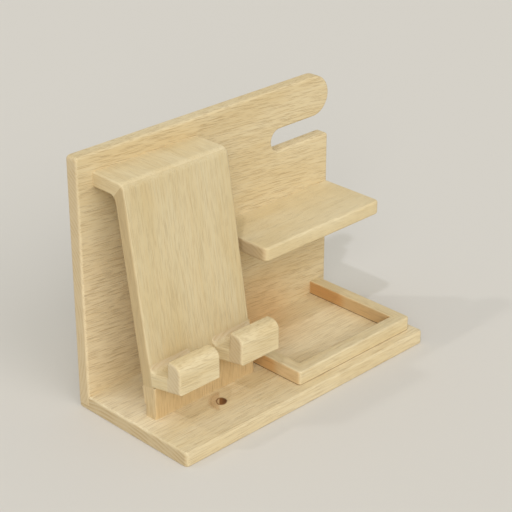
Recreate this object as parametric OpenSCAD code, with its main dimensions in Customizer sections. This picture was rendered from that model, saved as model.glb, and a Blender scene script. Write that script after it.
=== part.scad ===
// Wooden desk stand that holds a phone upright, with a shelf, an open arm and a tray.
// X runs along the stand, the front faces -Y, and Z = 0 is the table under the base's centre.

/* [Stand] */
// Length of the base and of the back board
stand_w = 200; // [190:1:240]
// Depth of the base from front to back
base_d = 93; // [88:1:120]
// Height of the back board's top above the table
stand_h = 158; // [150:1:190]
// Thickness of the boards
stock_t = 9; // [8:0.5:11]
// Wood left under the back board in the base's rebate
rebate_floor = 3; // [2:0.5:5]
// Rounding of the sanded edges
edge_r = 1.5; // [0.5:0.1:2]
// Rounding of the base's lower edges
foot_edge_r = 0.8; // [0.3:0.1:1.5]
// Rounding of the base's front corners, seen from above
base_corner_r = 2.5; // [2:0.5:8]
// Rounding of the base's back corners, seen from above
back_corner_r = 2; // [2:0.5:4]

/* [Back board] */
// Height of the arm above the slot
arm_h = 26; // [16:1:34]
// Height of the slot under the arm
slot_h = 14; // [8:1:24]
// Length of the slot, from the right end of the board
slot_l = 50; // [30:1:90]
// Rounding of the upper left corner
crown_r = 2.5; // [2:0.5:12]
// Rounding of the corner below the slot's mouth
mouth_r = 2; // [2:0.5:10]

/* [Shelf] */
// Distance from the phone rest to the shelf, which runs to the right end of the back board
shelf_gap = 11; // [4:0.5:40]
// Depth of the shelf, from the face of the back board
shelf_d = 45; // [30:1:60]
// Height of the shelf's top above the table
shelf_z = 85.5; // [70:0.5:100]
// Rounding of the shelf's front corners
shelf_corner_r = 3.5; // [2:0.5:12]

/* [Phone rest] */
// Width of the rest
rest_w = 78; // [64:1:84]
// Distance from the left end of the base to the rest
rest_inset = 11; // [5:0.5:15]
// Distance from the back board's top down to the top of the bridge
rest_drop = 10.8; // [10:0.2:40]
// Angle at which the phone leans back
lean = 9.3; // [7:0.1:11]
// Angle at which the ledges rise towards the lips
ledge_rise = 11.3; // [5:0.1:15]
// Distance from the back board's face to the corner that the phone's lower back edge sits in
seat_back = 43; // [39:0.5:48]
// Height of that corner above the table
seat_z = 38; // [32:0.5:50]
// Room for the phone between the lips and the plate, at the corner's height
pocket_d = 14; // [11:0.5:17]
// Thickness of the lips
lip_t = 10.5; // [8:0.5:14]
// Height of the lips above the corner
lip_h = 13.5; // [10:0.5:20]
// Width of the cable notch between the lips
notch_w = 16.5; // [10:0.5:24]
// Distance that the leg's front stands before that corner
leg_step = 3.4; // [2:0.2:5]
// Least height of the upright part of the leg's back
leg_upright = 2; // [1:0.5:6]
// Rounding at the top of the plate
bend_r = 5; // [3:0.5:7]
// Hollow rounding under the bridge and in the phone's corner
cove_r = 4.5; // [3:0.5:6]
// Rounding of the lips' upper front edge
lip_r = 5.5; // [3:0.5:6.5]
// Rounding of the lips' upper back edge
lip_back_r = 2; // [2:0.5:3]

/* [Tray] */
// Distance from the phone rest to the tray
tray_gap = 7; // [3:0.5:30]
// Distance from the right end of the base to the tray
tray_inset = 5.5; // [3:0.5:12]
// Distance from the front edge of the base to the tray
tray_setback = 6.7; // [3:0.1:15]
// Width of the rails
rail_w = 8.6; // [6:0.2:12]
// Height of the rails above the base
rail_h = 9; // [5:0.5:14]
// Rounding of the rails' upper edges
rail_edge_r = 1; // [0.5:0.1:2]
// Rounding of the tray's front corners, seen from above
tray_corner_r = 2; // [1.5:0.5:6]

/* [Joinery] */
// Diameter of the dowels
dowel_d = 4; // [3:0.5:5]
// Depth to which a dowel enters the face of a board
dowel_face = 6; // [4:0.5:6.5]
// Depth to which a dowel enters the end or the edge of a board
dowel_end = 11; // [7:0.5:12]
// Number of dowels in a row
row_dowels = 3; // [2:1:4]
// Distance from the end of a board to the first dowel
dowel_margin = 12; // [11:0.5:16]
// Distance from the side of a ledge to its dowel, beside the leg's dowels
ledge_dowel_margin = 6; // [5:0.5:7]
// Room for glue round a dowel and round the spline
glue_gap = 0.05; // [0.02:0.01:0.1]
// Room for glue at each end of a dowel's hole
glue_well = 0.5; // [0.3:0.1:0.8]
// Thickness of the spline in the mitre
spline_t = 2; // [1.5:0.1:2.5]
// Width of the spline
spline_w = 7; // [4:0.5:7]
// Distance from the rest's sides to the ends of the spline
spline_margin = 9; // [5:0.5:20]

/* [Hidden] */
$fn = 48;

// One overrun serves all cuts, and one reach all the planes that part a piece from its neighbour
overrun = 1;
reach = stand_w + stand_h;
// Runs of an outline shorter than this are points where two roundings meet
shortest_run = 0.01;
// Directions that differ by less than this count as the same
same_way = 0.0001;
ledge_dowel_count = 2;

left_x = -stand_w / 2;
right_x = stand_w / 2;
front_y = -base_d / 2;
back_y = base_d / 2;
face_y = back_y - stock_t;
rest_left = left_x + rest_inset;
rest_right = rest_left + rest_w;
rest_h = stand_h - rest_drop;

pine = [0.86, 0.77, 0.6];
pine_light = [0.88, 0.8, 0.64];
pine_dark = [0.8, 0.69, 0.5];
dowel_wood = [0.85, 0.72, 0.5];

// Directions and points

function unit(v) = v / norm(v);
function turn_left(v) = [-v.y, v.x];
function turn_right(v) = [v.y, -v.x];
function cross2(a, b) = a.x * b.y - a.y * b.x;
function meet(p, d, q, e) = p + d * cross2(q - p, e) / cross2(d, e);
function heading(v) = atan2(v.y, v.x);
function turned(v, angle) = [v.x * cos(angle) - v.y * sin(angle), v.x * sin(angle) + v.y * cos(angle)];
function is_square(v) = min(abs(v.x), abs(v.y)) < same_way;

// A board's outline is a list of corners [point, rounding, whether the edge that leaves it is eased],
// anticlockwise. These work out each corner's rounding from its neighbours.

function spot(path, i) = path[(i + len(path)) % len(path)][0];
function rounding(path, i) = path[(i + len(path)) % len(path)][1];
function eased(path, i) = path[(i + len(path)) % len(path)][2];
function along(path, i) = unit(spot(path, i + 1) - spot(path, i));
function bulges(path, i) = cross2(along(path, i - 1), along(path, i)) > same_way;
function half_angle(path, i) =
    acos(max(-1, min(1, -along(path, i - 1) * along(path, i)))) / 2;
function tangent_length(path, i) = rounding(path, i) / tan(half_angle(path, i));
function arc_start(path, i) = spot(path, i) - along(path, i - 1) * tangent_length(path, i);
function arc_end(path, i) = spot(path, i) + along(path, i) * tangent_length(path, i);
function arc_centre(path, i) = spot(path, i) + unit(along(path, i) - along(path, i - 1))
    * rounding(path, i) / sin(half_angle(path, i));
function seen_from(path, origin, angle) =
    [for (corner = path) [turned(corner[0] - origin, -angle), corner[1], corner[2]]];

// The spandrel between a corner and its rounding, with some overrun past the corner.
// A convex corner loses it and a hollow corner gains it.
module spandrel(path, i) {
    side = bulges(path, i) ? 1 : -1;
    start = arc_start(path, i) + turn_right(along(path, i - 1)) * overrun * side;
    end = arc_end(path, i) + turn_right(along(path, i)) * overrun * side;
    difference() {
        polygon([arc_centre(path, i), start, meet(start, along(path, i - 1), end, along(path, i)), end]);
        translate(arc_centre(path, i)) circle(rounding(path, i));
    }
}

// A board of thickness t above z = 0, with the rounded outline and sharp rims
module slab(path, t) {
    corners = [for (i = [0 : len(path) - 1]) if (rounding(path, i) > 0) i];
    difference() {
        union() {
            linear_extrude(t) polygon([for (corner = path) corner[0]]);
            for (i = corners) if (!bulges(path, i)) linear_extrude(t) spandrel(path, i);
        }
        for (i = corners) if (bulges(path, i))
            translate([0, 0, -overrun]) linear_extrude(t + overrun * 2) spandrel(path, i);
    }
}

// Section of the waste along an eased edge: the edge is the origin, and the board lies below and to the left
module edge_bit(r) {
    difference() {
        translate([-r, -r]) square(r + overrun);
        translate([-r, -r]) circle(r);
    }
}

// Waste along one straight run, from its rounded end. It passes a sharp convex corner and stops at any other.
module run_waste(path, i, r) {
    before = rounding(path, i) == 0 && bulges(path, i) ? r + overrun : 0;
    after = rounding(path, i + 1) == 0 && bulges(path, i + 1) ? r + overrun : 0;
    run = norm(arc_start(path, i + 1) - arc_end(path, i));
    from_start = rounding(path, i) > 0;
    if (run > shortest_run)
        translate(from_start ? arc_end(path, i) : arc_start(path, i + 1) + along(path, i) * after)
            rotate([90, 0, heading(turn_right(along(path, i)))])
                mirror([0, 0, from_start ? 1 : 0])
                    linear_extrude(before + run + after) edge_bit(r);
}

// Waste round one rounded corner, swept from its squarer side
module bend_waste(path, i, r) {
    centre = arc_centre(path, i);
    from_end = is_square(along(path, i));
    first = from_end ? arc_end(path, i) : arc_start(path, i);
    translate(centre)
        rotate(heading(first - centre))
            mirror([0, bulges(path, i) == from_end ? 1 : 0, 0])
                rotate_extrude(angle = 180 - 2 * half_angle(path, i))
                    translate([rounding(path, i), 0])
                        mirror([bulges(path, i) ? 0 : 1, 0]) edge_bit(r);
}

// Waste round the rim of a board. Edges that aren't eased lie against another piece.
module rim_waste(path, r) {
    for (i = [0 : len(path) - 1]) {
        if (eased(path, i)) run_waste(path, i, r);
        if ((eased(path, i) || eased(path, i - 1)) && rounding(path, i) > 0) bend_waste(path, i, r);
    }
}

// Eases the upper and lower rims of a board that is already cut to its outline
module eased_rims(path, t, upper_r, lower_r) {
    difference() {
        children();
        translate([0, 0, t]) rim_waste(path, upper_r);
        mirror([0, 0, 1]) rim_waste(path, lower_r);
    }
}

module eased_board(path, t, upper_r, lower_r) {
    eased_rims(path, t, upper_r, lower_r) slab(path, t);
}

// Everything on the left of a line in the plane, going along d through p
module left_of(p, d) {
    translate(p) rotate(heading(d)) translate([-reach, 0]) square([reach * 2, reach]);
}

module right_of(p, d) {
    left_of(p, -d);
}

// Turns a shape drawn in the side view (Y, Z) and gives it a width along X
module side_view(x) {
    translate([x, 0, 0]) rotate([90, 0, 90]) children();
}

// Dowels

function row(from_x, to_x, count, margin) = [for (i = [0 : count - 1])
    from_x + margin + (to_x - from_x - margin * 2) * i / (count - 1)];

// A dowel along +Z from its lower end, or its hole with room for glue
module dowel(length, hole = false) {
    spare = hole ? glue_well : 0;
    translate([0, 0, -spare]) cylinder(length + spare * 2, d = hole ? dowel_d + glue_gap * 2 : dowel_d);
}

// Base board

base_path = [
    [[left_x, front_y], base_corner_r, true],
    [[right_x, front_y], base_corner_r, true],
    [[right_x, back_y], back_corner_r, true],
    [[left_x, back_y], back_corner_r, true]];

module base_board() {
    color(pine_light) difference() {
        eased_board(base_path, stock_t, edge_r, foot_edge_r);
        translate([left_x - overrun, face_y, rebate_floor])
            cube([stand_w + overrun * 2, stock_t + overrun, stock_t]);
        leg_foot_dowel_row(true);
    }
}

// Back board

slot_top = stand_h - arm_h;
slot_floor = slot_top - slot_h;
slot_end = right_x - slot_l;
back_path = [
    [[left_x, rebate_floor], 0, false],
    [[right_x, rebate_floor], 0, true],
    [[right_x, slot_floor], mouth_r, true],
    [[slot_end, slot_floor], slot_h / 2, true],
    [[slot_end, slot_top], slot_h / 2, true],
    [[right_x, slot_top], arm_h / 2, true],
    [[right_x, stand_h], arm_h / 2, true],
    [[left_x, stand_h], crown_r, true]];

module back_board() {
    color(pine) difference() {
        translate([0, back_y, 0]) rotate([90, 0, 0]) eased_board(back_path, stock_t, edge_r, edge_r);
        shelf_dowel_row(true);
        bridge_dowel_row(true);
    }
}

// Shelf

shelf_left = rest_right + shelf_gap;
shelf_front = face_y - shelf_d;
shelf_path = [
    [[shelf_left, shelf_front], shelf_corner_r, true],
    [[right_x, shelf_front], shelf_corner_r, true],
    [[right_x, face_y], 0, false],
    [[shelf_left, face_y], 0, true]];

module shelf() {
    color(pine_light) difference() {
        translate([0, 0, shelf_z - stock_t]) eased_board(shelf_path, stock_t, edge_r, edge_r);
        shelf_dowel_row(true);
    }
}

module shelf_dowel_row(hole = false) {
    for (x = row(shelf_left, right_x, row_dowels, dowel_margin))
        translate([x, face_y + dowel_face, shelf_z - stock_t / 2])
            rotate([90, 0, 0]) dowel(dowel_face + dowel_end, hole);
}

// Phone rest: one side view, parted into its boards by the planes of the joints

notch_left = rest_left + (rest_w - notch_w) / 2;
notch_right = notch_left + notch_w;

seat = [face_y - seat_back, seat_z];
up_plate = [sin(lean), cos(lean)];
into_plate = turn_right(up_plate);
along_ledge = [-cos(ledge_rise), sin(ledge_rise)];
under_ledge = turn_left(along_ledge);
down = [0, -1];
level = [1, 0];

plate_rear = seat + into_plate * stock_t;
ledge_under = seat + under_ledge * stock_t;
lip_inner = [seat.x - pocket_d, seat_z];
lip_front = lip_inner - level * lip_t;
lip_top = [0, seat_z + lip_h];
leg_front = [seat.x - leg_step, 0];
leg_rear = leg_front + level * stock_t;
bridge_top = [face_y, rest_h];
bridge_under = bridge_top + down * stock_t;

bend_outer = meet(seat, up_plate, bridge_top, level);
bend_inner = meet(plate_rear, up_plate, bridge_under, level);
mitre = unit(bend_inner - bend_outer);
cove_top = seat + up_plate * cove_r / tan(acos(up_plate * along_ledge) / 2);
ledge_front = meet(seat, along_ledge, lip_inner, down);
ledge_front_under = meet(ledge_under, along_ledge, lip_inner, down);
plate_foot = meet(seat, up_plate, ledge_under, along_ledge);
plate_foot_rear = meet(plate_rear, up_plate, ledge_under, along_ledge);
knee = meet(leg_rear, down, plate_rear, up_plate);

// Bridge and plate as one crank, before the saw cut at the mitre, with the edges of one of them eased
function crank_path(is_bridge) = [
    [bridge_top, 0, is_bridge],
    [bend_outer, bend_r, !is_bridge],
    [cove_top, 0, false],
    [plate_foot, 0, false],
    [plate_foot_rear, 0, !is_bridge],
    [bend_inner, cove_r, is_bridge],
    [bridge_under, 0, false]];

// A ledge with the cove at its back, before it is cut to lie against the plate
ledge_path = [
    [cove_top, 0, true],
    [seat, cove_r, true],
    [ledge_front, 0, false],
    [ledge_front_under, 0, true],
    [plate_foot - along_ledge * overrun, 0, false],
    [cove_top + into_plate * overrun, 0, false]];

lip_path = [
    [ledge_front_under, 0, false],
    [ledge_front, 0, true],
    [meet(lip_inner, down, lip_top, level), lip_back_r, true],
    [meet(lip_front, down, lip_top, level), lip_r, true],
    [meet(lip_front, down, ledge_under, along_ledge), 0, true]];

leg_path = [
    [meet(leg_front, down, ledge_under, along_ledge), 0, true],
    [[leg_front.x, stock_t], 0, false],
    [[leg_rear.x, stock_t], 0, true],
    [[leg_rear.x, max(knee.y, stock_t + leg_upright)], 0, true],
    [plate_foot_rear, 0, false]];

// A board of the rest between two places on X, with its rims eased
module rest_board(path, from_x, to_x) {
    side_view(from_x) eased_board(path, to_x - from_x, edge_r, edge_r);
}

// The same for a slanting board with one rounded corner: it is drawn square round that corner's
// centre, sawn along a line that goes along d through p, eased and turned
module slanting_board(path, i, angle, p, d, from_x, to_x) {
    centre = arc_centre(path, i);
    square_path = seen_from(path, centre, angle);
    t = to_x - from_x;
    side_view(from_x) translate(centre) rotate(angle)
        eased_rims(square_path, t, edge_r, edge_r) intersection() {
            slab(square_path, t);
            translate([0, 0, -overrun]) linear_extrude(t + overrun * 2)
                left_of(turned(p - centre, -angle), turned(d, -angle));
        }
}

module rest_bridge() {
    color(pine) difference() {
        slanting_board(crank_path(true), 1, 0, bend_outer, mitre, rest_left, rest_right);
        bridge_dowel_row(true);
        spline(true);
    }
}

module rest_plate() {
    color(pine) difference() {
        slanting_board(crank_path(false), 1, -lean, bend_outer, -mitre, rest_left, rest_right);
        spline(true);
        ledge_dowel_row(true);
        leg_top_dowel_row(true);
    }
}

module ledge(from_x, to_x) {
    color(pine_dark) difference() {
        slanting_board(ledge_path, 1, -ledge_rise, seat, up_plate, from_x, to_x);
        ledge_dowel_row(true);
    }
}

module left_ledge() {
    ledge(rest_left, notch_left);
}

module right_ledge() {
    ledge(notch_right, rest_right);
}

module lip(from_x, to_x) {
    color(pine_light) difference() {
        rest_board(lip_path, from_x, to_x);
        ledge_dowel_row(true);
    }
}

module left_lip() {
    lip(rest_left, notch_left);
}

module right_lip() {
    lip(notch_right, rest_right);
}

module rest_leg() {
    color(pine) difference() {
        rest_board(leg_path, rest_left, rest_right);
        leg_top_dowel_row(true);
        leg_foot_dowel_row(true);
    }
}

module bridge_dowel_row(hole = false) {
    for (x = row(rest_left, rest_right, row_dowels, dowel_margin))
        translate([x, face_y + dowel_face, rest_h - stock_t / 2])
            rotate([90, 0, 0]) dowel(dowel_face + dowel_end, hole);
}

// The spline lies square across the mitre, near its middle
module spline(groove = false) {
    gap = groove ? glue_gap : 0;
    middle = (bend_outer + bend_inner) / 2;
    side_view(rest_left + spline_margin - gap)
        linear_extrude(rest_w - (spline_margin - gap) * 2)
            translate(middle) rotate(heading(mitre))
                square([spline_t + gap * 2, spline_w + gap * 2], center = true);
}

// The ledge dowels run through the ledges along their middle, from the lips into the plate
ledge_middle = seat + under_ledge * stock_t / 2;
ledge_run = norm(meet(ledge_middle, along_ledge, lip_inner, down) - ledge_middle);

module ledge_dowel_row(hole = false) {
    for (side = [[rest_left, notch_left], [notch_right, rest_right]])
        for (x = row(side[0], side[1], ledge_dowel_count, ledge_dowel_margin))
            translate([x, ledge_middle.x, ledge_middle.y])
                rotate([90 - ledge_rise, 0, 0])
                    translate([0, 0, -dowel_face])
                        dowel(dowel_face * 2 + ledge_run, hole);
}

// The leg's upper dowels stand square on its sloping top
leg_top_middle = (meet(leg_front, down, ledge_under, along_ledge) + plate_foot_rear) / 2;

module leg_top_dowel_row(hole = false) {
    for (x = row(rest_left, rest_right, row_dowels, dowel_margin))
        translate([x, leg_top_middle.x, leg_top_middle.y])
            rotate([-ledge_rise, 0, 0])
                translate([0, 0, -dowel_face]) dowel(dowel_face + dowel_end, hole);
}

module leg_foot_dowel_row(hole = false) {
    for (x = row(rest_left, rest_right, row_dowels, dowel_margin))
        translate([x, (leg_front.x + leg_rear.x) / 2, stock_t - dowel_face])
            dowel(dowel_face * 2, hole);
}

// Tray: three rails, mitred at the front corners

tray_left = rest_right + tray_gap;
tray_right = right_x - tray_inset;
tray_front = front_y + tray_setback;
left_rail_path = [
    [[tray_left, tray_front], tray_corner_r, true],
    [[tray_left + rail_w, tray_front], 0, true],
    [[tray_left + rail_w, face_y], 0, false],
    [[tray_left, face_y], 0, true]];
front_rail_path = [
    [[tray_left, tray_front], tray_corner_r, true],
    [[tray_right, tray_front], tray_corner_r, true],
    [[tray_right, tray_front + rail_w], 0, true],
    [[tray_left, tray_front + rail_w], 0, true]];
right_rail_path = [
    [[tray_right - rail_w, tray_front], 0, true],
    [[tray_right, tray_front], tray_corner_r, true],
    [[tray_right, face_y], 0, false],
    [[tray_right - rail_w, face_y], 0, true]];

// A strip on the base, sawn along the region seen from above and eased along its upper rim
module rail(path) {
    translate([0, 0, stock_t]) difference() {
        intersection() {
            slab(path, rail_h);
            translate([0, 0, -overrun]) linear_extrude(rail_h + overrun * 2) children();
        }
        translate([0, 0, rail_h]) rim_waste(path, rail_edge_r);
    }
}

module tray_left_rail() {
    color(pine_dark) rail(left_rail_path) left_of([tray_left, tray_front], [1, 1]);
}

module tray_front_rail() {
    color(pine) rail(front_rail_path) intersection() {
        right_of([tray_left, tray_front], [1, 1]);
        left_of([tray_right, tray_front], [-1, 1]);
    }
}

module tray_right_rail() {
    color(pine) rail(right_rail_path) right_of([tray_right, tray_front], [-1, 1]);
}

// Dowel and spline pieces

module shelf_dowels() {
    color(dowel_wood) shelf_dowel_row();
}

module bridge_dowels() {
    color(dowel_wood) bridge_dowel_row();
}

module bend_spline() {
    color(dowel_wood) spline();
}

module ledge_dowels() {
    color(dowel_wood) ledge_dowel_row();
}

module leg_top_dowels() {
    color(dowel_wood) leg_top_dowel_row();
}

module leg_foot_dowels() {
    color(dowel_wood) leg_foot_dowel_row();
}

base_board();
back_board();
shelf();
shelf_dowels();
rest_bridge();
bridge_dowels();
bend_spline();
rest_plate();
left_ledge();
right_ledge();
left_lip();
right_lip();
ledge_dowels();
rest_leg();
leg_top_dowels();
leg_foot_dowels();
tray_left_rail();
tray_front_rail();
tray_right_rail();
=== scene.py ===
import bpy
import math
from mathutils import Matrix, Vector

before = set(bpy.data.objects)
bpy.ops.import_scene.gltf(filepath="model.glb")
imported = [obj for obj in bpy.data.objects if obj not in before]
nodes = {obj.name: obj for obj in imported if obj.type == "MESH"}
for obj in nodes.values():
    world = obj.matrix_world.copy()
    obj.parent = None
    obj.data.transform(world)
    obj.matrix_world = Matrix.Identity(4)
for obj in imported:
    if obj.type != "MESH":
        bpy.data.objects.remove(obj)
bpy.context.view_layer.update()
print("frame loaded:", len(nodes), "nodes")


def fromScreen(red, green, blue):
    def linear(c):
        c = c / 255
        return c / 12.92 if c <= 0.04045 else ((c + 0.055) / 1.055) ** 2.4
    return (linear(red), linear(green), linear(blue), 1.0)  # shader sockets take linear colour


cameraSettings = {"azimuth": -44.71, "elevation": 26.12, "distance": 0.94589,
                  "target": (0.02647, 0.02745, 0.060), "lens": 108.65, "sensor": 36.0,
                  "nearest": 0.05, "farthest": 30}


def makeCamera(settings):
    a = math.radians(settings["azimuth"])
    e = math.radians(settings["elevation"])
    back = Vector((math.sin(a) * math.cos(e), -math.cos(a) * math.cos(e), math.sin(e)))
    right = Vector((math.cos(a), math.sin(a), 0))
    up = back.cross(right)
    data = bpy.data.cameras.new("camera")
    data.lens = settings["lens"]
    data.sensor_width = settings["sensor"]
    data.clip_start = settings["nearest"]
    data.clip_end = settings["farthest"]
    camera = bpy.data.objects.new("camera", data)
    turn = Matrix((right, up, back)).transposed().to_4x4()
    place = Vector(settings["target"]) + back * settings["distance"]
    camera.matrix_world = Matrix.Translation(place) @ turn
    bpy.context.scene.collection.objects.link(camera)
    bpy.context.scene.camera = camera


makeCamera(cameraSettings)
print("camera set")

# each lamp: how far its light travels in X and Y while it falls one metre, its strength, its size in degrees
lampSettings = {
    "lampNear": {"travel": (0.57, 0.33), "strength": 0.14, "spread": 2.0, "colour": (0.92, 0.96, 1.12)},
    "lampFar": {"travel": (0.57, -0.61), "strength": 0.085, "spread": 2.5, "colour": (1, 1, 1)},
    "softFront": {"travel": (0.1, 1.3), "strength": 0.28, "spread": 45.0, "colour": (1, 0.97, 0.98)},
    "softLeft": {"travel": (1.45, 1.45), "strength": 0.33, "spread": 30.0, "colour": (1, 1, 1)},
}
roomSettings = {"strength": 0.5, "colour": (1, 1.02, 1.0, 1)}
floorSettings = {"size": 6.0, "colour": fromScreen(214, 209, 199), "roughness": 0.9, "shine": 0.1}


def makeLamp(name, settings):
    way = Vector((settings["travel"][0], settings["travel"][1], -1)).normalized()
    data = bpy.data.lights.new(name, "SUN")
    data.energy = settings["strength"] * math.pi
    data.color = settings["colour"]
    data.angle = math.radians(settings["spread"])
    lamp = bpy.data.objects.new(name, data)
    lamp.rotation_euler = way.to_track_quat("-Z", "Y").to_euler()
    bpy.context.scene.collection.objects.link(lamp)


def makeRoom(settings, background):
    world = bpy.data.worlds.new("room")
    world.use_nodes = True
    bpy.context.scene.world = world
    tree = world.node_tree
    tree.nodes.clear()
    out = tree.nodes.new("ShaderNodeOutputWorld")
    light = tree.nodes.new("ShaderNodeBackground")
    light.inputs["Color"].default_value = settings["colour"]
    light.inputs["Strength"].default_value = settings["strength"]
    seen = tree.nodes.new("ShaderNodeBackground")
    seen.inputs["Color"].default_value = background
    path = tree.nodes.new("ShaderNodeLightPath")
    either = tree.nodes.new("ShaderNodeMath")  # the camera and gloss see the floor's colour behind the stand
    either.operation = "MAXIMUM"
    tree.links.new(path.outputs["Is Camera Ray"], either.inputs[0])
    tree.links.new(path.outputs["Is Glossy Ray"], either.inputs[1])
    mix = tree.nodes.new("ShaderNodeMixShader")
    tree.links.new(either.outputs[0], mix.inputs["Fac"])
    tree.links.new(light.outputs[0], mix.inputs[1])
    tree.links.new(seen.outputs[0], mix.inputs[2])
    tree.links.new(mix.outputs[0], out.inputs["Surface"])


def makeFloor(settings):
    half = settings["size"] / 2
    mesh = bpy.data.meshes.new("floor")
    corners = [(-half, -half, 0), (half, -half, 0), (half, half, 0), (-half, half, 0)]
    mesh.from_pydata(corners, [], [(0, 1, 2, 3)])
    floor = bpy.data.objects.new("floor", mesh)
    bpy.context.scene.collection.objects.link(floor)
    material = bpy.data.materials.new("floorPaper")
    material.use_nodes = True
    shader = material.node_tree.nodes["Principled BSDF"]
    shader.inputs["Base Color"].default_value = settings["colour"]
    shader.inputs["Roughness"].default_value = settings["roughness"]
    shader.inputs["Specular IOR Level"].default_value = settings["shine"]
    mesh.materials.append(material)


for name, settings in lampSettings.items():
    makeLamp(name, settings)
makeRoom(roomSettings, floorSettings["colour"])
makeFloor(floorSettings)
bpy.context.scene.view_settings.view_transform = "Standard"
print("lamps and floor made")


class NodeDesk:
    def __init__(self, material):
        material.use_nodes = True
        self.tree = material.node_tree
        self.tree.nodes.clear()
        self.out = self.tree.nodes.new("ShaderNodeOutputMaterial")
        self.shader = self.tree.nodes.new("ShaderNodeBsdfPrincipled")
        self.tree.links.new(self.shader.outputs[0], self.out.inputs["Surface"])
        self.where = self.tree.nodes.new("ShaderNodeTexCoord")

    def link(self, value, socket):
        if isinstance(value, bpy.types.NodeSocket):
            self.tree.links.new(value, socket)
        else:
            socket.default_value = value

    def maths(self, kind, a, b=0.0):
        node = self.tree.nodes.new("ShaderNodeMath")
        node.operation = kind
        self.link(a, node.inputs[0])
        self.link(b, node.inputs[1])
        return node.outputs[0]

    def vector(self, kind, a, b=(0, 0, 0), number=False):
        node = self.tree.nodes.new("ShaderNodeVectorMath")
        node.operation = kind
        self.link(a, node.inputs[0])
        self.link(b, node.inputs[1])
        return node.outputs["Value" if number else "Vector"]

    def split(self, value):
        node = self.tree.nodes.new("ShaderNodeSeparateXYZ")
        self.link(value, node.inputs[0])
        return node.outputs

    def noise(self, where, stretch, detail=2.0, rough=0.5, colour=False):
        node = self.tree.nodes.new("ShaderNodeTexNoise")
        node.inputs["Scale"].default_value = 1.0
        node.inputs["Detail"].default_value = detail
        node.inputs["Roughness"].default_value = rough
        size = tuple(1 / mm for mm in stretch)  # mm to one swell of the noise, along and across
        self.link(self.vector("MULTIPLY", where, size), node.inputs["Vector"])
        return node.outputs["Color" if colour else "Fac"]

    def swing(self, where, stretch, detail):
        swell = self.noise(where, stretch, detail=detail, colour=True)
        return self.vector("SUBTRACT", swell, (0.5, 0.5, 0.5))  # to both sides of nought

    def grains(self, where, stretch, uneven):
        node = self.tree.nodes.new("ShaderNodeTexVoronoi")  # one grain in each cell, 0 at its middle
        node.inputs["Scale"].default_value = 1.0
        node.inputs["Randomness"].default_value = uneven
        size = tuple(1 / mm for mm in stretch)
        self.link(self.vector("MULTIPLY", where, size), node.inputs["Vector"])
        return node.outputs["Distance"]

    def turned(self, where, angles):
        node = self.tree.nodes.new("ShaderNodeMapping")
        node.inputs["Rotation"].default_value = [math.radians(angle) for angle in angles]
        self.link(where, node.inputs["Vector"])
        return node.outputs[0]

    def spread(self, value, low, high, toLow=0.0, toHigh=1.0):
        node = self.tree.nodes.new("ShaderNodeMapRange")
        node.interpolation_type = "SMOOTHSTEP"
        self.link(value, node.inputs["Value"])
        for socket, number in zip(("From Min", "From Max", "To Min", "To Max"), (low, high, toLow, toHigh)):
            node.inputs[socket].default_value = number
        return node.outputs["Result"]

    def blend(self, share, a, b):
        node = self.tree.nodes.new("ShaderNodeMix")
        node.data_type = "RGBA"
        self.link(share, node.inputs["Factor"])
        self.link(a, node.inputs["A"])
        self.link(b, node.inputs["B"])
        return node.outputs["Result"]

    def place(self, middle, turn):
        node = self.tree.nodes.new("ShaderNodeMapping")  # to mm, in the board's own frame
        node.vector_type = "TEXTURE"
        node.inputs["Location"].default_value = middle
        node.inputs["Rotation"].default_value = turn
        node.inputs["Scale"].default_value = (0.001, 0.001, 0.001)
        self.tree.links.new(self.where.outputs["Object"], node.inputs["Vector"])
        return node.outputs[0]


# the stand's pine: tones as they look on screen in full light, sizes in mm
pine = {
    "pale": (223, 207, 167),
    "warm": (214, 193, 146),
    "lateWood": (208, 180, 128),
    "dash": (160, 126, 78),
    "endGrain": (211, 193, 157),
    "ringWidth": 2.4,          # from one year's ring to the next
    "ringShare": 0.09,         # how strongly the rings show
    "endRingShare": 0.28,      # the same on the end grain
    "heart": (18, -70),        # from the board's middle to the heart of the trunk: across it, and through it
    "tilt": 0,                 # degrees between the grain and the board's length, seen on its broad side
    "waver": 3.0,              # how far the rings wander
    "lineSize": (24.0, 0.66),  # from one dark dash of the grain to the next: along and across
    "lineShare": 0.48,         # how dark the dashes are
    "lineLimit": 0.36,         # the higher, the longer and wider the dashes
    "fibreSize": (16.0, 0.6),  # the same for the finer, paler fibres
    "fibreShare": 0.28,
    "blotchShare": 0.8,        # how far the slow blotches go from pale to warm
    "edgeShadeShare": 0.3,          # how much painted shade dulls the rounded edges' highlight
    "edgeShadeTone": (215, 197, 157),
    "sideShadingShare": 0.0,          # how much the sides of a strip take a tone of their own: painted shading for how light falls on them
    "sideShadingTone": (197, 145, 83),
    "sideShadingFade": None,          # where along the strip that painted shading fades, like a shadow's edge, and how much of it stays
    "paintedLightShade": (),             # patches of painted light (paler tones) and painted shade (darker tones), each as its middle, how far it is whole, where it ends, its share and its tone
                               # where it ends, its share and its tone
    "paintedLightSide": (0, 0, 1),    # the side of the board that has the painted light and shade
    "seamShadeShare": 0.0,          # how dark the line at a strip's foot is: a glue seam and painted contact shadow
    "seamShadeHeight": 0.55,
    "roughness": (0.52, 0.70),
    "relief": 0.08,            # depth of the grain's grooves
    "seed": 0,
    "knot": None,
}
# the foot line's tone: glue seam and painted contact shadow
seamShadeTone = (112, 80, 46)

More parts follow.
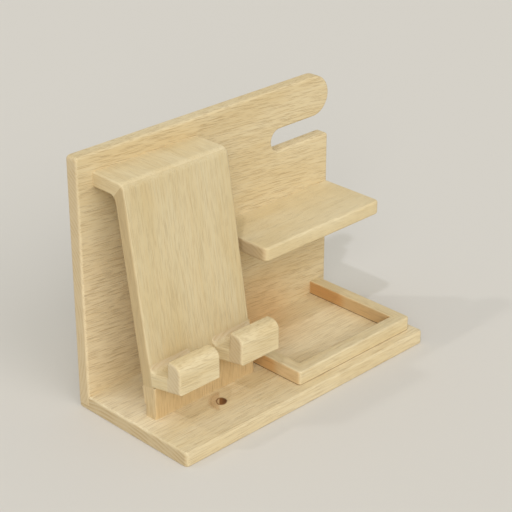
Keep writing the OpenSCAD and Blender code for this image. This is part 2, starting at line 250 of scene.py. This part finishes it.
# how the wood is drawn on every board: sizes in mm, ranges as from and to
drawing = {
    "seedStep": (62.9, 18.7, 39.1),    # how far one seed's wood lies from the next
    "endFacing": (0.55, 0.95),         # how far a face looks along the grain before it is end grain
    "wanderSize": (90, 22, 22),
    "wanderReach": (0, 2, 1),
    "lateGrows": (0.2, 0.88), "lateStops": (0.9, 1.0),  # the late wood's share of a year
    "unequalSize": (80, 9, 9), "unequal": (0.3, 0.7, 0.3, 1.0),  # some years show less
    "swaySize": (40, 8, 8), "swayReach": (0, 0.9, 0.9),
    "slipSize": (400, 1.3, 1.3), "slipReach": (70, 0, 0),
    "roll": 34,                        # degrees about the grain
    "uneven": 0.8,                     # how irregular the dashes are
    "dashCore": 0.55,                  # share of a dash that is fully dark
    "shortDash": (0.45, 0.8), "shortShare": 0.8,  # a second, shorter and thinner set of dashes
    "dashOnEnds": 0.35,
    "crowdSize": (30, 4, 4), "crowd": (0.3, 0.62, 0.8, 1.0),
    "blotchSize": (70, 18, 18), "blotch": (0.3, 0.7),
    "sideShadingFacing": (0.6, 0.95), "paintedLightFacing": (0.2, 0.8),
    "fibreTone": (0.35, 0.68), "fibreGloss": (0.3, 0.7),
    "fibreHeight": 0.4,
    # the ragged width of the painted edge shade
    "edgeShadeRagSize": (9, 4, 4), "edgeShadeRagReach": 2.4, "edgeShade": (1.2, 2.6),
    "seamShadeEdge": (0.6, 1.2),
    "shine": 0.35,
}


def boardTurn(grain, through):
    x = Vector(grain).normalized()  # local X runs along the grain, local Z through the board
    z = Vector(through).normalized()
    y = z.cross(x)
    return Matrix((x, y, z)).transposed()


def boardBox(node, turn):
    local = turn.transposed()
    points = [local @ vertex.co for vertex in nodes[node].data.vertices]
    low = Vector([min(point[i] for point in points) for i in range(3)])
    high = Vector([max(point[i] for point in points) for i in range(3)])
    return turn @ ((low + high) / 2), (high - low) * 500  # the middle in metres, half its size in mm


def woodMaterial(name, middle, turn, half, look):
    material = bpy.data.materials.new(name)
    desk = NodeDesk(material)
    spot = desk.place(middle, turn.to_euler())
    seeded = desk.vector("ADD", spot, tuple(look["seed"] * step for step in drawing["seedStep"]))
    if look["tilt"]:
        seeded = desk.turned(seeded, (0, 0, look["tilt"]))
    x, y, z = desk.split(spot)

    # how far the surface faces along the grain (end grain) or sideways
    facing = desk.vector("NORMALIZE", desk.where.outputs["Normal"])
    ends = desk.maths("ABSOLUTE", desk.vector("DOT_PRODUCT", facing, tuple(turn.col[0]), number=True))
    ends = desk.spread(ends, *drawing["endFacing"])

    # year rings round the heart of the trunk, wandering slowly along the board
    wander = desk.swing(seeded, drawing["wanderSize"], detail=2.0)
    wander = desk.vector("MULTIPLY", wander, tuple(look["waver"] * reach for reach in drawing["wanderReach"]))
    ringSpot = desk.vector("ADD", spot, wander)
    ringSpot = desk.vector("SUBTRACT", ringSpot, (0, look["heart"][0], look["heart"][1]))
    ringSpot = desk.vector("MULTIPLY", ringSpot, (0, 1, 1))
    radius = desk.vector("LENGTH", ringSpot, number=True)
    radius = desk.maths("DIVIDE", radius, look["ringWidth"])
    knot = look["knot"]
    if knot:
        ragged = desk.swing(seeded, (knot["raggedSize"],) * 3, detail=2.0)
        fromKnot = desk.vector("ADD", spot, desk.vector("MULTIPLY", ragged, (knot["ragged"],) * 3))
        fromKnot = desk.vector("SUBTRACT", fromKnot, (*knot["core"], 0))
        turned = math.radians(knot["turn"])
        tall = desk.vector("DOT_PRODUCT", fromKnot, (math.cos(turned), math.sin(turned), 0), number=True)
        wide = desk.vector("DOT_PRODUCT", fromKnot, (-math.sin(turned), math.cos(turned), 0), number=True)

        def away(length, width, shift=0.0):
            u = desk.maths("DIVIDE", tall, length)
            v = desk.maths("DIVIDE", desk.maths("SUBTRACT", wide, shift), width)
            squares = desk.maths("ADD", desk.maths("MULTIPLY", u, u), desk.maths("MULTIPLY", v, v))
            return desk.maths("SQRT", squares)

        coreAway = away(*knot["coreSize"], knot["coreShift"])
        inKnot = away(*knot["ringSize"])
        near = desk.spread(inKnot, *knot["ringsTurn"], 1, 0)
        radius = desk.maths("ADD", desk.maths("MULTIPLY", radius, desk.maths("SUBTRACT", 1.0, near)),
                            desk.maths("MULTIPLY", inKnot, near))
    year = desk.maths("FRACT", radius)
    late = desk.maths("MULTIPLY", desk.spread(year, *drawing["lateGrows"]),
                      desk.spread(year, *drawing["lateStops"], 1, 0))
    unequal = desk.noise(seeded, drawing["unequalSize"], detail=1)
    late = desk.maths("MULTIPLY", late, desk.spread(unequal, *drawing["unequal"]))

    # dashes of the grain, finer fibres, and slow blotches
    longLine, wideLine = look["lineSize"]
    sway = desk.swing(seeded, drawing["swaySize"], detail=1)
    swayed = desk.vector("ADD", seeded, desk.vector("MULTIPLY", sway, drawing["swayReach"]))
    slip = desk.swing(seeded, drawing["slipSize"], detail=1)  # so that dashes don't end in columns
    swayed = desk.vector("ADD", swayed, desk.vector("MULTIPLY", slip, drawing["slipReach"]))
    # rolled, so that no face of the board cuts whole rows of dashes at once
    swayed = desk.turned(swayed, (drawing["roll"], 0, 0))
    dashEdge = (look["lineLimit"] * drawing["dashCore"], look["lineLimit"])
    lines = desk.grains(swayed, (longLine, wideLine, wideLine), drawing["uneven"])
    lines = desk.spread(lines, *dashEdge, 1, 0)
    shorter, thinner = drawing["shortDash"]
    shortLine = (longLine * shorter, wideLine * thinner, wideLine * thinner)
    moreLines = desk.grains(swayed, shortLine, drawing["uneven"])
    moreLines = desk.spread(moreLines, *dashEdge, drawing["shortShare"], 0)
    lines = desk.maths("MAXIMUM", lines, moreLines)
    lines = desk.maths("MULTIPLY", lines, desk.spread(ends, 0, 1, 1, drawing["dashOnEnds"]))
    crowd = desk.noise(seeded, drawing["crowdSize"], detail=1)
    lines = desk.maths("MULTIPLY", lines, desk.spread(crowd, *drawing["crowd"]))
    longFibre, wideFibre = look["fibreSize"]
    fibres = desk.noise(seeded, (longFibre, wideFibre, wideFibre), detail=2, rough=0.6)
    blotches = desk.noise(seeded, drawing["blotchSize"], detail=2)

    tone = desk.blend(desk.maths("MULTIPLY", desk.spread(blotches, *drawing["blotch"]), look["blotchShare"]),
                      fromScreen(*look["pale"]), fromScreen(*look["warm"]))
    tone = desk.blend(ends, tone, fromScreen(*look["endGrain"]))
    # painted shading: the faces across the strip get their own tone, standing for their shade
    if look["sideShadingShare"]:
        sideShading = desk.maths("ABSOLUTE", desk.vector("DOT_PRODUCT", facing, tuple(turn.col[1]), number=True))
        sideShading = desk.maths("MULTIPLY", desk.spread(sideShading, *drawing["sideShadingFacing"]), look["sideShadingShare"])
        if look["sideShadingFade"]:
            sideShading = desk.maths("MULTIPLY", sideShading, desk.spread(x, *look["sideShadingFade"]))
        tone = desk.blend(sideShading, tone, fromScreen(*look["sideShadingTone"]))
    # painted light and shade: spots of paler or darker tone where the stand should look more or less lit, on
    # one side of the board
    paintedLightSide = desk.vector("DOT_PRODUCT", facing, look["paintedLightSide"], number=True)
    paintedLightSide = desk.spread(paintedLightSide, *drawing["paintedLightFacing"])
    for centre, whole, gone, share, paintedLightTone in look["paintedLightShade"]:
        centre = tuple(number / 1000 for number in centre)
        distance = desk.vector("DISTANCE", desk.where.outputs["Object"], centre, number=True)
        paintedLightSpot = desk.maths("MULTIPLY", desk.spread(distance, whole / 1000, gone / 1000, share, 0), paintedLightSide)
        tone = desk.blend(paintedLightSpot, tone, fromScreen(*paintedLightTone))
    tone = desk.blend(desk.maths("MULTIPLY", late, look["ringShare"]), tone, fromScreen(*look["lateWood"]))
    endRings = desk.maths("MULTIPLY", desk.maths("MULTIPLY", late, ends), look["endRingShare"])
    tone = desk.blend(endRings, tone, fromScreen(*look["dash"]))
    tone = desk.blend(desk.maths("MULTIPLY", desk.spread(fibres, *drawing["fibreTone"]), look["fibreShare"]),
                      tone, fromScreen(*look["lateWood"]))
    tone = desk.blend(desk.maths("MULTIPLY", lines, look["lineShare"]), tone, fromScreen(*look["dash"]))
    if knot:
        flat = knot["flat"]
        oneSide = desk.spread(wide, *(flat * edge for edge in knot["sideEdge"]))
        halo = desk.maths("MULTIPLY", desk.spread(inKnot, *knot["haloEdge"], knot["haloShare"], 0), oneSide)
        tone = desk.blend(halo, tone, fromScreen(*knot["haloTone"]))
        knotRing = desk.maths("MULTIPLY", desk.spread(year, *knot["ringGrows"]),
                              desk.spread(year, *drawing["lateStops"], 1, 0))
        ringFades = desk.spread(inKnot, *knot["ringEdge"], knot["ringShare"], 0)
        knotRing = desk.maths("MULTIPLY", knotRing, ringFades)
        tone = desk.blend(desk.maths("MULTIPLY", knotRing, oneSide), tone, fromScreen(*knot["ringTone"]))
        core = desk.maths("MULTIPLY", desk.spread(coreAway, *knot["coreEdge"], 1, 0),
                          desk.spread(wide, *(flat * edge for edge in knot["flatEdge"]), 1, 0))
        coreTone = desk.blend(desk.spread(wide, -flat, flat),
                              fromScreen(*knot["coreDark"]), fromScreen(*knot["coreTone"]))
        tone = desk.blend(core, tone, coreTone)

    # painted shade along the rounded edges, to dull their highlight: the second nearest face of the board
    # tells how near an edge is
    gaps = desk.vector("SUBTRACT", tuple(half), desk.vector("ABSOLUTE", spot))
    gapX, gapY, gapZ = desk.split(gaps)
    edge = desk.maths("MAXIMUM", desk.maths("MINIMUM", gapX, gapY),
                      desk.maths("MINIMUM", desk.maths("MAXIMUM", gapX, gapY), gapZ))
    edgeShadeRag = desk.noise(seeded, drawing["edgeShadeRagSize"], detail=2)
    edgeShade = desk.maths("ADD", edge, desk.maths("MULTIPLY", edgeShadeRag, drawing["edgeShadeRagReach"]))
    edgeShade = desk.spread(edgeShade, *drawing["edgeShade"], look["edgeShadeShare"], 0)
    tone = desk.blend(edgeShade, tone, fromScreen(*look["edgeShadeTone"]))
    # a dark line at the strip's foot: glue seam and painted contact shadow
    if look["seamShadeShare"]:
        foot = desk.maths("ADD", z, half[2])
        seamShadeEdge = (look["seamShadeHeight"] * edge for edge in drawing["seamShadeEdge"])
        tone = desk.blend(desk.spread(foot, *seamShadeEdge, look["seamShadeShare"], 0), tone, fromScreen(*seamShadeTone))
    desk.link(tone, desk.shader.inputs["Base Color"])

    low, high = look["roughness"]
    desk.link(desk.spread(fibres, *drawing["fibreGloss"], low, high), desk.shader.inputs["Roughness"])
    desk.shader.inputs["Specular IOR Level"].default_value = drawing["shine"]
    height = desk.maths("SUBTRACT", desk.maths("MULTIPLY", fibres, drawing["fibreHeight"]), lines)
    bump = desk.tree.nodes.new("ShaderNodeBump")
    bump.inputs["Strength"].default_value = 1.0
    bump.inputs["Distance"].default_value = look["relief"] / 1000
    desk.link(height, bump.inputs["Height"])
    desk.link(bump.outputs[0], desk.shader.inputs["Normal"])
    return material


def dress(node, grain, through, changes):
    look = dict(pine)
    look.update(changes)
    turn = boardTurn(grain, through)
    middle, half = boardBox(node, turn)
    if look["knot"]:
        look["knot"] = dict(look["knot"])
        place = Vector((*look["knot"]["core"], 0)) - middle * 1000
        look["knot"]["core"] = tuple((turn.transposed() @ place)[:2])
    data = nodes[node].data
    data.materials.clear()
    data.materials.append(woodMaterial(node + "Wood", middle, turn, half, look))


restAngles = {"lean": 9.3, "rise": 11.3}  # degrees: the plate against upright, the ledges against level
lean = math.radians(restAngles["lean"])
rise = math.radians(restAngles["rise"])
alongX, alongY, up = (1, 0, 0), (0, 1, 0), (0, 0, 1)
upPlate = (0, math.sin(lean), math.cos(lean))
intoPlate = (0, math.cos(lean), -math.sin(lean))
alongLedge = (0, -math.cos(rise), math.sin(rise))
overLedge = (0, math.sin(rise), math.cos(rise))

# places of the knot and of the painted light and shade patches are in mm, on the stand
baseBoard = {
    "seed": 1, "pale": (226, 210, 172), "warm": (217, 197, 152), "endGrain": (203, 184, 146),
    "endRingShare": 0.5, "heart": (14, -170), "lineShare": 0.37,
    # painted shade on the base's rounded edges
    "edgeShadeTone": (209, 190, 148), "edgeShadeShare": 0.5,
    "knot": {"core": (-47.8, -20.3), "turn": 46.6, "ragged": 0.8, "raggedSize": 2.5,
             "coreSize": (4.3, 3.6), "coreShift": 1.0, "coreEdge": (0.8, 1.1),
             "coreDark": (98, 60, 30), "coreTone": (136, 92, 50),
             # where the core ends and its marks begin
             "flat": 2.0, "flatEdge": (0.8, 1.2), "sideEdge": (0.6, 1.4),
             "ringSize": (5.2, 4.1), "ringGrows": (0.66, 0.84), "ringEdge": (1.4, 2.6),
             "ringShare": 0.85, "ringTone": (122, 82, 44),
             "ringsTurn": (1.6, 3.2),  # where the board's rings go round the knot
             "haloEdge": (1.6, 2.3), "haloShare": 0.5, "haloTone": (192, 150, 100)},
    # painted light on the tray floor and at the base's left back, painted shade in the tray's back corner
    # under the shelf
    "paintedLightShade": (((56, 0, 9), 16, 44, 0.7, (242, 226, 186)),
                ((30, 38, 9), 14, 50, 0.5, (216, 172, 112)),
                ((-98, 10, 9), 16, 36, 0.7, (242, 228, 194))),
}
dress("base_board", alongX, up, baseBoard)

backBoard = {
    "seed": 2, "pale": (221, 204, 164), "warm": (211, 189, 143), "endGrain": (209, 189, 151),
    "heart": (35, 80), "lineShare": 0.46, "tilt": -4.5, "paintedLightSide": (0, -1, 0),
    # painted shade at the back board's foot in the tray's corner, painted light on its strip left of the rest
    "paintedLightShade": (((36, 36, 9), 12, 42, 0.5, (206, 160, 100)),
                ((-96, 36, 50), 24, 84, 0.6, (238, 218, 178))),
}
dress("back_board", alongX, alongY, backBoard)

shelf = {"seed": 3, "tilt": -3, "lineShare": 0.12, "ringShare": 0.08, "fibreShare": 0.14,
         "endGrain": (206, 183, 142)}
dress("shelf", alongX, up, shelf)
print("body and shelf dressed")

# painted shade on the bridge's sides
restBridge = {"seed": 4, "lineShare": 0.22, "ringShare": 0.1, "sideShadingShare": 0.35, "sideShadingTone": (204, 176, 128)}
dress("rest_bridge", alongY, up, restBridge)

# the plate's darker tone is painted shade, against the light its up-facing front catches; its sides are
# painted darker still
restPlateShaded = {"seed": 5, "lineShare": 0.24, "ringShare": 0.14, "heart": (-9, -75), "sideShadingShare": 0.9,
             "sideShadingTone": (192, 168, 124), "pale": (209, 193, 153), "warm": (201, 181, 135)}
dress("rest_plate", upPlate, intoPlate, restPlateShaded)

ledges = {"lineShare": 0.3, "ringShare": 0.24}
dress("left_ledge", alongLedge, overLedge, {**ledges, "seed": 6})
dress("right_ledge", alongLedge, overLedge, {**ledges, "seed": 7})

lips = {"lineSize": (26.0, 0.6), "lineShare": 0.32, "tilt": -5, "ringShare": 0.08, "heart": (60, 40)}
dress("left_lip", alongX, alongY, {**lips, "seed": 8})
dress("right_lip", alongX, alongY, {**lips, "seed": 9})

# the leg's darker, warmer tone is painted shade from the ledges above it; its sides are painted a little
# paler
restLegShaded = {"seed": 10, "pale": (212, 184, 136), "warm": (204, 174, 124),
           "sideShadingShare": 0.8, "sideShadingTone": (209, 187, 145), "lineShare": 0.45, "ringShare": 0.12}
dress("rest_leg", up, alongY, restLegShaded)
print("rest dressed")

# painted shadow on the rails' sides: full towards the back, about half towards the front where the light
# reaches them
trayRails = {"lineShare": 0.3, "ringShare": 0.12, "seamShadeShare": 0.85,
             "sideShadingShare": 0.8, "sideShadingFade": (6, 13, 0.5, 1)}
leftRail = {"seed": 11, "sideShadingTone": (206, 153, 88), "sideShadingFade": (-22, -15, 0.45, 1)}
frontRail = {"seed": 12, "sideShadingShare": 0.0, "seamShadeShare": 0.6}
rightRail = {"seed": 13, "sideShadingTone": (197, 136, 66)}
dress("tray_left_rail", alongY, up, {**trayRails, **leftRail})
dress("tray_front_rail", alongX, up, {**trayRails, **frontRail})
dress("tray_right_rail", alongY, up, {**trayRails, **rightRail})
print("tray dressed")

# beech dowels and the spline stay inside the joints
beechPins = {"pale": (214, 184, 146), "warm": (205, 172, 130), "lateWood": (188, 150, 108),
             "dash": (150, 108, 68), "lineSize": (2.5, 0.7), "lineShare": 0.3, "ringShare": 0.1, "seed": 20}
dress("shelf_dowels", alongY, up, beechPins)
dress("bridge_dowels", alongY, up, beechPins)
dress("bend_spline", alongX, up, beechPins)
dress("ledge_dowels", alongLedge, overLedge, beechPins)
dress("leg_top_dowels", upPlate, intoPlate, beechPins)
dress("leg_foot_dowels", up, alongY, beechPins)
print("dowels and spline dressed")
